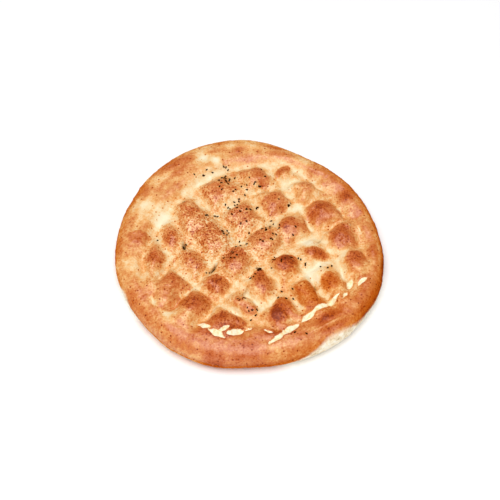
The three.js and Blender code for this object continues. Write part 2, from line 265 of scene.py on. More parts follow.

# Browned tops of the pillows: x, y, half width, half depth, turn, squareness, browning, how dark the core
# is, and how far in the near edge fades. Squareness is 1 for a diamond, 2 for an oval and more for a
# rectangle. The far edge is crisp, since the oven's heat came from the far side. The paler near side is
# partly painted sheen, for the near-facing slopes that catch the overhead light.
PILLOW_RAGS = [(0.06, 9, 7), (0.06, 3.5, 11)]
FAR_FADE = 0.17
CORE_SHIFT = 0.22
CORE_REACH = 0.62
PILLOWS = [
    (-21, -96, 22, 16, 0, 1.3, 0.66, 0.17, 0.25),
    (-51, -77, 23, 20, 0, 1.35, 0.54, 0.26, 0.7),
    (-76, -53, 26, 17, 0, 1.2, 0.47, 0.28, 0.45),
    (-81, -69, 15, 19, 15, 2.2, 0.53, 0.04, 0.45),
    (-31, -52, 14, 13, 0, 1.9, 0.57, 0.37, 0.4),
    (-56, -26, 15, 18, -35, 1.9, 0.54, 0.16, 0.95),
    (-96, -22, 16, 14, 0, 1.4, 0.44, 0.34, 0.7),
    (-114, 1, 15, 12, -8, 2.2, 0.66, 0.04, 1.1),
    (-80, 5, 10, 14, 8, 2.2, 0.6, 0.14, 0.5),
    (-42, 7, 20, 18, -40, 2.6, 0.58, 0.08, 0.5),
    (-60, 37, 13, 17, 28, 2.4, 0.55, 0.13, 0.5),
    (-14, -22, 17, 19, 5, 1.8, 0.59, 0.21, 0.4),
    (14, -50, 10, 18, 17, 2.6, 0.6, 0.22, 0.5),
    (-2, -77, 16, 9, -35, 2.4, 0.53, 0, 0.4),
    (33, -84, 14, 20, -10, 1.7, 0.66, 0.1, 0.5),
    (60, -66, 11, 20, 16, 3.0, 0.67, 0, 0.3),
    (83, -50, 13, 14, 0, 2.0, 0.58, 0.26, 0.85),
    (39, -28, 15, 15, -10, 2.1, 0.68, 0.38, 0.7),
    (70, -16, 18, 10, -5, 2.0, 0.57, 0.4, 1),
    (14, 2, 17, 16, 0, 1.8, 0.58, 0.1, 0.6),
    (45, 17, 16, 18, 20, 2.1, 0.59, 0.25, 0.7),
    (98, 4, 17, 20, 10, 1.9, 0.56, 0.32, 0.8),
    (111, -25, 15, 15, 20, 1.8, 0.56, 0.34, 0.7),
    (78, 36, 20, 20, 35, 2.3, 0.57, 0.34, 0.7),
    (29, 48, 17, 17, 0, 1.6, 0.59, 0.06, 0.4),
    (-8, 31, 19, 17, 20, 2.2, 0.55, 0.1, 0.5),
    (-36, 62, 14, 19, 20, 2.4, 0.56, 0.12, 0.6),
    (13, 83, 11, 17, 25, 2.4, 0.58, 0.12, 0.5),
    (37, 93, 12, 7, 38, 2.0, 0.58, 0.14, 0.5),
    (61, 70, 13, 12, 0, 2.0, 0.44, 0.06, 0.8),
]

# Where the oven browned the crust more, or left it paler: x, y, reach and how much. Two of the pale spots
# hold painted light, as said above each.
HOT_SPOTS = [
    (-118, -50, 8, 0.1),
    (-113, 65, 14, 0.34),
    (-112, -60, 9, 0.05),
    (-111, -63, 9, 0.09),
    (-111, -3, 8, 0.1),
    (-94, -24, 7, 0.12),
    (-75, 98, 18, 0.14),
    (-72, -106, 9, 0.1),
    (-63, -77, 8, 0.17),
    (-58, -127, 16, 0.09),
    (-50, -45, 6, 0.07),
    (-49, -31, 6, 0.12),
    (-47, -36, 5, 0.12),
    (-42, -134, 9, 0.07),
    (-40, -118, 20, 0.1),
    (-39, -48, 5, 0.14),
    (-38, 7, 8, 0.11),
    (-27, -36, 6, 0.08),
    (-11, 121, 6, 0.35),
    (-4, -120, 13, 0.06),
    (0, -130, 11, 0.13),
    (0, -117, 22, 0.08),
    (20, -136, 9, 0.1),
    (20, -62, 5, 0.15),
    (28, -88, 9, 0.36),
    (32, 118, 9, 0.15),
    (40, -117, 18, 0.11),
    (46, -90, 9, 0.06),
    (52, -37, 7, 0.1),
    (55, -114, 9, 0.13),
    (70, -72, 6, 0.16),
    (74, 94, 15, 0.14),
    (76, -107, 9, 0.09),
    (85, 65, 11, 0.1),
    (92, -96, 8, 0.09),
    (92, 86, 11, 0.16),
    (105, 57, 6, 0.15),
    (106, 63, 12, 0.2),
    (114, 4, 8, 0.12),
    (116, 37, 10, 0.12),
    (117, 35, 8, 0.12),
    (122, 5, 9, 0.07),
    (127, -12, 6, 0.14),
    (128, -46, 7, 0.04),
    (129, -17, 7, 0.12),
]
PALE_SPOTS = [
    (-124, -30, 12, 0.05),
    (-120, 17, 10, 0.14),
    (-117, -28, 8, 0.15),
    (-108, -15, 8, 0.06),
    (-104, -42, 9, 0.07),
    (-103, 43, 12, 0.2),
    (-96, -74, 7, 0.15),
    (-91, -47, 6, 0.15),
    (-88, 28, 9, 0.35),
    (-84, -90, 7, 0.11),
    (-68, -91, 12, 0.12),
    (-55, -103, 9, 0.1),
    (-54, 4, 6, 0.09),
    (-50, 112, 6, 0.4),
    (-41, -17, 5, 0.12),
    (-34, 106, 5, 0.45),
    (-31, -84, 5, 0.2),
    # Paler where the rim's gloss shows: partly a painted highlight
    (-20, -135, 8, 0.1),
    (-12, -82, 6, 0.2),
    (-3, -52, 6, 0.09),
    (6, -68, 7, 0.1),
    (15, -75, 9, 0.05),
    (22, -71, 6, 0.06),
    (27, -67, 5, 0.16),
    (45, 73, 9, 0.2),
    (52, 44, 9, 0.2),
    (53, -75, 6, 0.2),
    (60, 104, 9, 0.2),
    # Paler to lift the shade of the deep groove here: painted light
    (62, -1, 7, 0.55),
    (67, -38, 10, 0.3),
    (73, 8, 7, 0.16),
    (77, -31, 7, 0.2),
    (98, -16, 6, 0.15),
    (113, 47, 8, 0.15),
    (125, -30, 9, 0.12),
]

# Low relief of the crust: how far it rises where it browned, blisters, which grow with the browning, and
# dimples. It comes up from the table over RELIEF_START.
BROWN_RISE = 1
BLISTERS = [(0.27, 4.2, 3), (0.22, 2.3, 4)]
LEAST_BLISTERS = 0.4
DIMPLES = [(0.35, 13, 6), (0.7, 31, 5)]
RELIEF_START = 6

# The floury part of the side: how far it rises from FLOUR_START at the front right, in a lower tail to the
# right of that, and at the left, as angle, spread and rise, over what height it fades, and how much paler
# the crust is just above it
FLOUR_RISES = [(-55, 19, 26.5), (-24, 18, 17), (-154, 11, 23)]
FLOUR_START = -6
FLOUR_RAGS = [(0.8, 11, 12)]
FLOUR_FADE = 5
FLOUR_PALING = 0.03
PALING_REACH = 7

# The underside: how brown it is, how floury, and the height up the side over which that fades
UNDER_BAKE = 0.42
UNDER_FLOUR = 0.5
UNDER_FADE = 2

# The gloss of the crust: how far in from the edge it starts at the front and at the back, where it starts
# nearer to the edge, as angle, reach and how much nearer, and over what width it comes up
GLAZE_STARTS = (1, 7)
GLOSSY_EDGE = (-115, 45, 8)
GLAZE_WIDTH = 9

# The browning over which the crust turns crisp and glossy, and that over which it dries out again, each
# with the share of the gloss that the dull end keeps
CRISP_BAKES = (0.32, 0.52)
DULLEST_GLAZE = 0.45
DRY_BAKES = (0.62, 0.92)
DRIEST_GLAZE = 0.35

# Where the crust is dull: x, y, reach and the share of the gloss that is gone
DULL_SPOTS = [(70, -58, 36, 0.85)]

# How finely things are meshed: the rings of the crust, steps round the outline, a seed, and the step over
# which the slope under a seed is taken
SECTORS = 6
LATTICE_RINGS = 140
ROLL_RINGS = 16
TUCK_RINGS = 9
UNDER_SHARES = (0.94, 0.82, 0.64, 0.44, 0.22)
OUTLINE_STEPS = 720
SEED_SUBDIVISIONS = 3
SLOPE_STEP = 0.6

# The camera: its angle above the table, how far off it is, its focal length and its image's width in
# pixels, the width of its sensor, and the point that it looks at
CAMERA_ELEVATION = 56
CAMERA_DISTANCE = 1000
FOCAL_PIXELS = 958
IMAGE_PIXELS = 500
SENSOR_WIDTH = 36
AIM = (0.9, -5.7, 12.9)

# The studio, in metres and watts: the floor's width, each lamp's place, width and power, and the strength
# of the light all round
FLOOR_SIZE = 8
LAMPS = [("overhead", (-0.1, -0.2, 1.62), 1.6, 24.4), ("front", (-0.45, -1.38, 0.45), 0.85, 4)]
LIGHT_ALL_ROUND = 0.41

# Waves that cross at the golden angle, for smooth unevenness
GOLDEN_ANGLE = 137.5
WAVE_STRETCHES = (1, 0.78, 1.31, 0.61)
WAVE_SUM = 2.6
WAVE_PHASE = 2.1
KIND_TURN = 61
KIND_PHASE = 1.7

# Turns of a wave that give each pillow a height of its own, in no order
ROW_TURN = 12.9
COLUMN_TURN = 78.2

# Whole numbers that stir the draws of the grain, and those that step the draws for the seeds
STIR_FACTORS = (374761393, 668265263, 1274126177, 974634533)
STIR_AGAIN = 1103515245
STIR_SHIFT = 13
LAST_SHIFT = 16
WORD = 0xFFFFFFFF
HALF_WORD = 0xFFFF
STEP_FACTOR = 1664525
STEP_ADDED = 1013904223
STEP_RANGE = 2**32


def bump(distance, half):
    """A rounded bump: 1 in its middle, and fading past half its width."""
    return np.exp(-((distance / half) ** 2))


def smoothstep(low, high, value):
    """From 0 at low to 1 at high, without a kink."""
    share = np.clip((value - low) / (high - low), 0, 1)
    return share * share * (3 - 2 * share)


def lobed(angle, mean, lobes):
    """A mean with lobes round it."""
    return mean + sum(reach * np.cos(n * (angle - math.radians(toward))) for n, reach, toward in lobes)


def outline_radius(angle):
    """How far out the loaf reaches at its widest height."""
    return lobed(angle, DIAMETER / 2, OUTLINE_LOBES)


def from_edge(x, y):
    """How far in from the outline points are, seen from above."""
    return outline_radius(np.arctan2(y, x)) - np.hypot(x, y)


def degrees_from(toward, x, y):
    """How many degrees points are from a direction, the short way round."""
    return (np.degrees(np.arctan2(y, x)) - toward + 180) % 360 - 180


def facing(angle, toward):
    """From 0 on the far side of the loaf to 1 towards a direction."""
    return (1 + np.cos(angle - math.radians(toward))) / 2


def turned(x, y, turn):
    """How far points are along a direction, and how far to the left of it."""
    cos, sin = math.cos(math.radians(turn)), math.sin(math.radians(turn))
    return x * cos + y * sin, y * cos - x * sin


def unevenness(x, y, wave, kind):
    """Smooth unevenness from about -1 to 1."""
    total = 0
    for k, stretch in enumerate(WAVE_STRETCHES):
        angle = math.radians(GOLDEN_ANGLE * (k + 1) + KIND_TURN * kind)
        along = (x * math.cos(angle) + y * math.sin(angle)) / (wave * stretch)
        total = total + np.sin(2 * math.pi * along + WAVE_PHASE * k + KIND_PHASE * kind)
    return total / WAVE_SUM


def lattice_draw(i, j, k, kind):
    """A repeatable draw from 0 to 1 for each point of a whole-number lattice."""
    stirred = sum(number * factor for number, factor in zip((i, j, k, kind), STIR_FACTORS)) & WORD
    stirred = ((stirred ^ (stirred >> STIR_SHIFT)) * STIR_AGAIN) & WORD
    return ((stirred ^ (stirred >> LAST_SHIFT)) & HALF_WORD) / HALF_WORD


def grain(points, size, kind):
    """Smooth random values from -1 to 1, with bumps about size across."""
    scaled = points / size
    cell = np.floor(scaled).astype(np.int64)
    part = smoothstep(0, 1, scaled - cell)
    total = np.zeros(len(points))
    for corner in itertools.product((0, 1), repeat=3):
        weight = np.prod(np.where(corner, part, 1 - part), axis=1)
        total += weight * lattice_draw(*(cell + corner).T, kind)
    return 2 * total - 1


def layered(points, layers):
    """Layers of grain added up."""
    return sum(amount * grain(points, size, kind) for amount, size, kind in layers)


def on_table(x, y):
    """Points straight under the crust."""
    return np.column_stack((x, y, np.zeros(len(x))))


def beside_line(x, y, turn, line):
    """How far points lie off a pressed line, and how far along it."""
    offset, tilt, bend = line
    along, across = turned(x, y, turn)
    span = along / BEND_SPAN
    slope = (tilt + 2 * bend * span) / BEND_SPAN
    off = across - (offset + tilt * span + bend * span * span)
    return off / np.hypot(1, slope), along


def kneaded(x, y):
    """What the fingertips did to each point: how far it is pressed down, from 0 to 1, how far its pillow
    rose above the others, how clear of the grooves and how near the pillow's middle it is, and whether it
    is in the lattice or the ring."""
    angle = np.arctan2(y, x)
    past_ring = np.hypot(x, y) - lobed(angle, RING_RADIUS, RING_LOBES)
    past_lattice = past_ring - lobed(angle, LATTICE_REACH, LATTICE_LOBES)
    inside = 1 - smoothstep(-LATTICE_FADE, LATTICE_FADE, past_lattice)
    half = GROOVE_HALF_WIDTH * (1 + GROOVE_UNEVENNESS * unevenness(x, y, GROOVE_WAVE, GROOVE_DRAW))
    wander = [GROOVE_WANDER * unevenness(x, y, WANDER_WAVE, kind) for kind in WANDER_DRAWS]
    unpressed = 1
    clear = 1
    dome = 1
    passed = []
    for turn, lines in LATTICE:
        lines_passed = 0
        for line in lines:
            off, along = beside_line(x + wander[0], y + wander[1], turn, line)
            fingertip = (1 - np.cos(2 * math.pi * along / FINGERTIP_PITCH + line[0])) / 2
            groove = bump(off, half)
            unpressed = unpressed * (1 - (1 - FINGERTIP_SHARE * fingertip) * groove)
            clear = clear * (1 - groove)
            dome = dome * (1 - bump(off, DOME_HALF_WIDTH))
            lines_passed = lines_passed + (off > 0)
        passed.append(lines_passed)
    lattice = (1 - unpressed) * inside
    for bx, by, reach, share in BRIDGES:
        joined = share * bump(np.hypot(x - bx, y - by), reach)
        lattice = lattice * (1 - joined)
        clear = clear + (1 - clear) * joined
        dome = dome + (1 - dome) * BRIDGE_DOMING * joined
    ring = RING_PRESS * facing(angle, RING_PRESS_TOWARD) ** 2 * bump(past_ring, RING_HALF_WIDTH)
    pillow_draw = np.sin(ROW_TURN * passed[0] + COLUMN_TURN * passed[1])
    return {
        "pressed": 1 - (1 - lattice) * (1 - ring),
        "puff": PILLOW_PUFF * pillow_draw * clear * inside,
        "clear": clear,
        "dome": np.minimum(1, dome / DOME_FULL),
        "inside": inside,
        "ring": ring,
    }


def crust_height(x, y):
    """Height of the top crust, from the widest line of the side inwards."""
    in_from_edge = np.maximum(0, from_edge(x, y))
    rolled = 1 - np.minimum(in_from_edge, ROLL_WIDTH) / ROLL_WIDTH
    dough = kneaded(x, y)
    crown = CROWN_HEIGHT + CROWN_UNEVENNESS * unevenness(x, y, CROWN_WAVE, CROWN_DRAW) + dough["puff"]
    crown = crown + DOME_RISE * (dough["dome"] - DOME_LEVEL) * dough["inside"]
    dent = GROOVE_DEPTH * dough["pressed"] * smoothstep(0, ROLL_WIDTH, in_from_edge)
    return WIDEST_HEIGHT + (crown - WIDEST_HEIGHT) * np.sqrt(1 - rolled * rolled) - dent


def beside_stretch(x, y, start, end):
    """How far points lie off a straight stretch, and at what share of its length."""
    reach_x, reach_y = end[0] - start[0], end[1] - start[1]
    along = ((x - start[0]) * reach_x + (y - start[1]) * reach_y) / (reach_x**2 + reach_y**2)
    along = np.clip(along, 0, 1)
    return np.hypot(x - start[0] - along * reach_x, y - start[1] - along * reach_y), along


def torn(x, y):
    """How far inside a tear points are, in millimetres, and below 0 outside them all."""
    within = np.full(np.shape(x), -float(DIAMETER))
    for start, end, half in TEARS:
        off, along = beside_stretch(x, y, start, end)
        within = np.maximum(within, half * np.abs(np.sin(math.pi * along)) ** TEAR_BLUNTNESS - off)
    return within + layered(on_table(x, y), TEAR_RAGS)


def folded(x, y):
    """Height of the folds, how much browner they are, and the painted highlight along one fold's ridge."""
    height = np.zeros(np.shape(x))
    browning_and_painted_light = np.zeros(np.shape(x))
    for start, end, half, rise, brown in FOLDS:
        off, along = beside_stretch(x, y, start, end)
        within = bump(off, half) * np.sin(math.pi * along)
        height = height + rise * within
        browning_and_painted_light = browning_and_painted_light + brown * within
    return height, browning_and_painted_light


def creased(x, y, creases):
    """How deep creases and slits are, and how much they darken the crust as painted shade, or pale it."""
    depth = np.zeros(np.shape(x))
    darker = np.zeros(np.shape(x))
    for cx, cy, half_length, half_width, turn, deep, dark in creases:
        along, across = turned(x - cx, y - cy, turn)
        within = bump(along, half_length) * bump(across, half_width)
        depth = np.maximum(depth, deep * within)
        darker = darker + dark * within
    return depth, darker


def spots(x, y, places):
    """Round spots added up."""
    return sum(amount * bump(np.hypot(x - px, y - py), reach) for px, py, reach, amount in places)


def browned_pillows(x, y):
    """How brown the pillows' tops are, and 0 off them; their paler near sides are partly painted sheen."""
    ragged = layered(on_table(x, y), PILLOW_RAGS)
    most = np.zeros(len(x))
    for px, py, half_width, half_depth, turn, squareness, brown, core, near_fade in PILLOWS:
        across, along = turned(x - px, y - py, turn)
        across = across / half_width
        along = along / half_depth
        squared = np.abs(across) ** squareness + np.abs(along) ** squareness
        from_middle = squared ** (1 / squareness) + ragged
        far = smoothstep(-1, 1, (y - py) / half_depth)
        fade = near_fade + (FAR_FADE - near_fade) * far
        cover = 1 - smoothstep(1 - fade, 1 + fade / 2, from_middle)
        dark = core * bump(np.hypot(across, along - CORE_SHIFT), CORE_REACH)
        most = np.maximum(most, cover * (brown + dark))
    return most


def top_height(x, y):
    """Height of the top with its browned rises, folds, tears, creases and slits."""
    tear = TEAR_DEPTH * smoothstep(-TEAR_FEATHER, TEAR_FEATHER, torn(x, y))
    rise = BROWN_RISE * (browned_pillows(x, y) + spots(x, y, HOT_SPOTS) - spots(x, y, PALE_SPOTS))
    raised = rise * smoothstep(0, ROLL_WIDTH, from_edge(x, y)) + folded(x, y)[0]
    return crust_height(x, y) + raised - tear - creased(x, y, CREASES + SLITS)[0]


def ring_of_points(count, share, inset, height_of):
    """Points in the form of the outline, drawn in by an inset and then to a share of that."""
    angle = np.arange(count) * 2 * math.pi / count
    radius = (outline_radius(angle) - inset) * share
    x, y = radius * np.cos(angle), radius * np.sin(angle)
    return np.column_stack((x, y, height_of(x, y)))


def level(height):
    """A height that is the same everywhere."""
    return lambda x, y: np.full(np.shape(x), float(height))


def loaf_rings():
    """Rings of points from the middle of the top, over the rim, down to the table and under it."""
    rings = [np.array([[0, 0, float(top_height(np.zeros(1), np.zeros(1))[0])]])]
    for k in range(1, LATTICE_RINGS + 1):
        rings.append(ring_of_points(SECTORS * k, k / LATTICE_RINGS, ROLL_WIDTH, top_height))
    count = SECTORS * LATTICE_RINGS
    for k in range(1, ROLL_RINGS + 1):
        inset = ROLL_WIDTH * (1 - math.sin(math.pi / 2 * k / ROLL_RINGS))
        rings.append(ring_of_points(count, 1, inset, top_height))
    for k in range(1, TUCK_RINGS + 1):
        turn = math.pi / 2 * k / TUCK_RINGS
        height = WIDEST_HEIGHT * (1 - math.sin(turn))
        inset = TUCK_WIDTH * (1 - math.cos(turn))
        rings.append(ring_of_points(count, 1, inset, level(height)))
    for share in UNDER_SHARES:
        rings.append(ring_of_points(count, share, TUCK_WIDTH, level(0)))
    return rings


def triangles_between(inner_start, inner_count, outer_start, outer_count):
    """Triangles between a ring and the next, in sectors that may have one step more on the outer."""
    inner_steps = inner_count // SECTORS
    outer_steps = outer_count // SECTORS
    sector, step = np.divmod(np.arange(outer_count), outer_steps)
    near = inner_start + (sector * inner_steps + step) % inner_count
    beside = inner_start + (sector * inner_steps + step + 1) % inner_count
    this = outer_start + np.arange(outer_count)
    after = outer_start + (np.arange(outer_count) + 1) % outer_count
    wedges = np.column_stack((near, this, after))
    fillers = np.column_stack((near, after, beside))[step < inner_steps]
    return np.concatenate((wedges, fillers))


def mesh_from(name, points, triangles):
    """A smooth mesh object from points in millimetres."""
    mesh = bpy.data.meshes.new(name)
    mesh.from_pydata((points * MM).tolist(), [], triangles.tolist())
    mesh.shade_smooth()
    piece = bpy.data.objects.new(name, mesh)
    bpy.context.scene.collection.objects.link(piece)
    return piece


def normals_of(mesh):
    """Which way is out at each point of a mesh."""
    normals = np.empty(len(mesh.vertices) * 3, dtype=np.float32)
    mesh.vertex_normals.foreach_get("vector", normals)
    return normals.reshape(-1, 3).astype(float)


def give(mesh, name, values):
    """Puts one number on each point of a mesh, for its material to read."""
    mesh.attributes.new(name, "FLOAT", "POINT").data.foreach_set("value", values.astype(np.float32))


def relief(points, dough, bake):
    """Fine relief of the crust along its normals: blisters, dimples and wrinkles."""
    blisters = layered(points, BLISTERS) * (LEAST_BLISTERS + bake)
    wrinkles = streaks(points, *STREAK_WRINKLES) * (1 - dough["inside"])
    raised = blisters + layered(points, DIMPLES) + wrinkles
    return raised * smoothstep(0, RELIEF_START, points[:, 2])


def streaks(points, amount, kind):
    """Smooth random values drawn out along the rim."""
    x, y = points[:, 0], points[:, 1]
    angle = np.arctan2(y, x)
    around = DIAMETER / 2 / STREAK_LENGTH
    wound = (around * np.cos(angle), around * np.sin(angle), from_edge(x, y) / STREAK_WIDTH)
    return amount * grain(np.column_stack(wound), 1, kind)


def rim_browning(points):
    """How brown the rim is, with its streaks and a darker lower edge that is partly painted shade."""
    x, y, z = points.T
    angle = np.arctan2(y, x)
    bake = lobed(angle, RIM_BAKE, RIM_BAKE_LOBES) + layered(points, RIM_CLOUDS)
    bake = bake + streaks(points, *STREAK_BROWNING)
    # A darker band at the lower edge: partly browner crust, partly painted shade along the outline
    for toward, width, browning_and_painted_light in RIM_EDGES:
        share = facing(angle, toward)
        reach = LEAST_RIM_EDGE + width * share**2
        band = (1 - smoothstep(reach / 2, reach, from_edge(x, y))) * smoothstep(0, WIDEST_HEIGHT, z)
        bake = bake + browning_and_painted_light * share * band
    return bake


def browning(points, dough):
    """How brown the crust is, with painted shade in creases and at the rim's edge, and painted highlights.
    """
    x, y = points[:, 0], points[:, 1]
    rim_bake = rim_browning(points)
    lattice_bake = GROOVE_BAKE + SHOULDER_BAKE * dough["clear"] + layered(points, LATTICE_CLOUDS)
    bake = rim_bake + (lattice_bake - rim_bake) * dough["inside"]
    bake = bake - RING_PALING * dough["ring"] ** 2
    bake = np.maximum(bake, browned_pillows(x, y))
    bake = bake + spots(x, y, HOT_SPOTS) - spots(x, y, PALE_SPOTS) + folded(x, y)[1]
    # Creases with browning above 0 are darkened as painted shade in the hollow; the rest turn paler
    bake = bake + creased(x, y, CREASES)[1]
    bake = bake + TEAR_EDGE_BAKE * bump(torn(x, y) + TEAR_EDGE_WIDTH, TEAR_EDGE_WIDTH)
    bake = bake - FLOUR_PALING * (1 - smoothstep(0, PALING_REACH, above_flour(points)))
    bake = bake + (UNDER_BAKE - bake) * underneath(points)
    return bake + layered(points, CRUST_CLOUDS)


def above_flour(points):
    """How far points are above the floury part of the side, in millimetres."""
    x, y, z = points.T
    top = FLOUR_START + layered(points, FLOUR_RAGS)
    for toward, spread, rise in FLOUR_RISES:
        top = top + rise * bump(degrees_from(toward, x, y), spread)
    return np.where(from_edge(x, y) < ROLL_WIDTH, z - top, DIAMETER)


def underneath(points):
    """From 0 on the side to 1 on the flat underside."""
    x, y, z = points.T
    return smoothstep(0, TUCK_WIDTH, from_edge(x, y)) * (1 - smoothstep(0, UNDER_FADE, z))


def floury(points):
    """How floury the crust is at each point."""
    on_side = 1 - smoothstep(-FLOUR_FADE, FLOUR_FADE, above_flour(points))
    return on_side + (UNDER_FLOUR - on_side) * underneath(points)


def glazed(points):
    """How glossy the crust is at each point of the top."""
    x, y = points[:, 0], points[:, 1]
    at_front, at_back = GLAZE_STARTS
    start = at_front + (at_back - at_front) * (1 + np.sin(np.arctan2(y, x))) / 2
    toward, reach, nearer = GLOSSY_EDGE
    start = start - nearer * bump(degrees_from(toward, x, y), reach)
    return smoothstep(0, GLAZE_WIDTH, from_edge(x, y) - start) * (1 - spots(x, y, DULL_SPOTS))


def freckled(points, dough):
    """How strongly the crust is freckled at each point."""
    on_lattice = LATTICE_FRECKLES + spots(points[:, 0], points[:, 1], FRECKLED_SPOTS)
    return RIM_FRECKLES + (on_lattice - RIM_FRECKLES) * dough["inside"]


def loaf_mesh():
    """Points and triangles of the whole loaf. The last point closes the underside."""
    rings = loaf_rings()
    points = np.concatenate(rings + [np.zeros((1, 3))])
    starts = np.cumsum([0] + [len(ring) for ring in rings])
    parts = [
        triangles_between(starts[k - 1], len(rings[k - 1]), starts[k], len(rings[k]))
        for k in range(1, len(rings))
    ]
    last = starts[-2] + np.arange(len(rings[-1]))
    parts.append(np.column_stack((last, np.full(len(last), starts[-1]), np.roll(last, -1))))
    return points, np.concatenate(parts)


def make_crust():
    """The crust at full relief, with what its material reads at each point."""
    points, triangles = loaf_mesh()
    crust = mesh_from("crust", points, triangles)
    x, y, z = points.T
    dough = kneaded(x, y)
    bake = browning(points, dough)
    raised = points + relief(points, dough, bake)[:, None] * normals_of(crust.data)
    crust.data.vertices.foreach_set("co", (raised * MM).astype(np.float32).ravel())
    on_top = z > WIDEST_HEIGHT
    # The browning, with its painted shade and highlights in it
    give(crust.data, "bake", bake)
    give(crust.data, "torn", np.where(on_top, torn(x, y), -TEAR_CLEARANCE))
    give(crust.data, "flour", floury(points))
    give(crust.data, "glaze", glazed(points) * on_top)
    give(crust.data, "freckled", freckled(points, dough))
    # How dark each slit is, as painted shade deep in it
    give(crust.data, "slit_shade", creased(x, y, SLITS)[1])
    return crust


def draws_from(state):
    """Even draws from 0 to 1, the same on every run."""
    while True:
        state = (state * STEP_FACTOR + STEP_ADDED) % STEP_RANGE
        yield state / STEP_RANGE


def strewn_seeds():
    """Where each seed fell and which way it points."""
    draw = draws_from(SEED_DRAW)
    seeds = []
    for px, py, spread, count in PINCHES:
        for _ in range(count):
            angle = 2 * math.pi * next(draw)
            distance = spread * math.sqrt(next(draw))
            heading = 2 * math.pi * next(draw)
            x = px + distance * math.cos(angle)
            y = py + distance * math.sin(angle)
            if from_edge(x, y) >= SEED_EDGE_GAP:
                seeds.append((x, y, heading))
    return np.array(seeds)


def seed_shape():
    """One seed as an angular drop about the origin."""
    half = 1 / 2
    bpy.ops.mesh.primitive_ico_sphere_add(subdivisions=SEED_SUBDIVISIONS, radius=half)
    ball = bpy.context.object
    points = np.array([vertex.co for vertex in ball.data.vertices])
    triangles = np.array([face.vertices for face in ball.data.polygons])
    bpy.data.objects.remove(ball)
    around = np.arctan2(points[:, 2], points[:, 1])
    taper = 1 - SEED_TAPER * smoothstep(-half, half, points[:, 0])
    corners = 1 + SEED_CORNER_RISE * np.cos(SEED_CORNERS * around)
    points[:, 1:] *= (taper * corners)[:, None] * SEED_FULLNESS
    return points * SEED_SIZE, triangles


def straight_up(x, y):
    """Which way points straight up from the top crust."""
    slope_x = (top_height(x + SLOPE_STEP, y) - top_height(x - SLOPE_STEP, y)) / (2 * SLOPE_STEP)
    slope_y = (top_height(x, y + SLOPE_STEP) - top_height(x, y - SLOPE_STEP)) / (2 * SLOPE_STEP)
    up = np.column_stack((-slope_x, -slope_y, np.ones(len(x))))
    return up / np.linalg.norm(up, axis=1, keepdims=True)


def make_seeds():
    """All the seeds as one piece, each flat on the crust and partly sunk into it."""
    shape, triangles = seed_shape()
    x, y, heading = strewn_seeds().T
    up = straight_up(x, y)
    forward = np.column_stack((np.cos(heading), np.sin(heading), np.zeros(len(x))))
    forward -= up * np.sum(forward * up, axis=1, keepdims=True)
    forward /= np.linalg.norm(forward, axis=1, keepdims=True)
    aside = np.cross(up, forward)
    place = np.column_stack((x, y, top_height(x, y))) + up * SEED_SIZE[2] * (1 / 2 - SEED_SUNK)
    axes = np.stack((forward, aside, up), axis=1)
    points = place[:, None] + np.einsum("vi,sij->svj", shape, axes)
    shifted = triangles[None] + np.arange(len(x))[:, None, None] * len(shape)
    return mesh_from("nigella_seeds", points.reshape(-1, 3), shifted.reshape(-1, 3))


# The curve from a screen's colours to light: how many steps it has, where it bends, and its two parts
SCREEN_STEPS = 255
SCREEN_BEND = 0.04045
SCREEN_SLOPE = 12.92
SCREEN_LIFT = 0.055
SCREEN_POWER = 2.4


def colour(red, green, blue):
    """A colour given as it shows on a screen, as the shader wants it."""
    shown = np.array((red, green, blue)) / SCREEN_STEPS
    dark = shown / SCREEN_SLOPE
    bright = ((shown + SCREEN_LIFT) / (1 + SCREEN_LIFT)) ** SCREEN_POWER
    return (*np.where(shown <= SCREEN_BEND, dark, bright), 1)


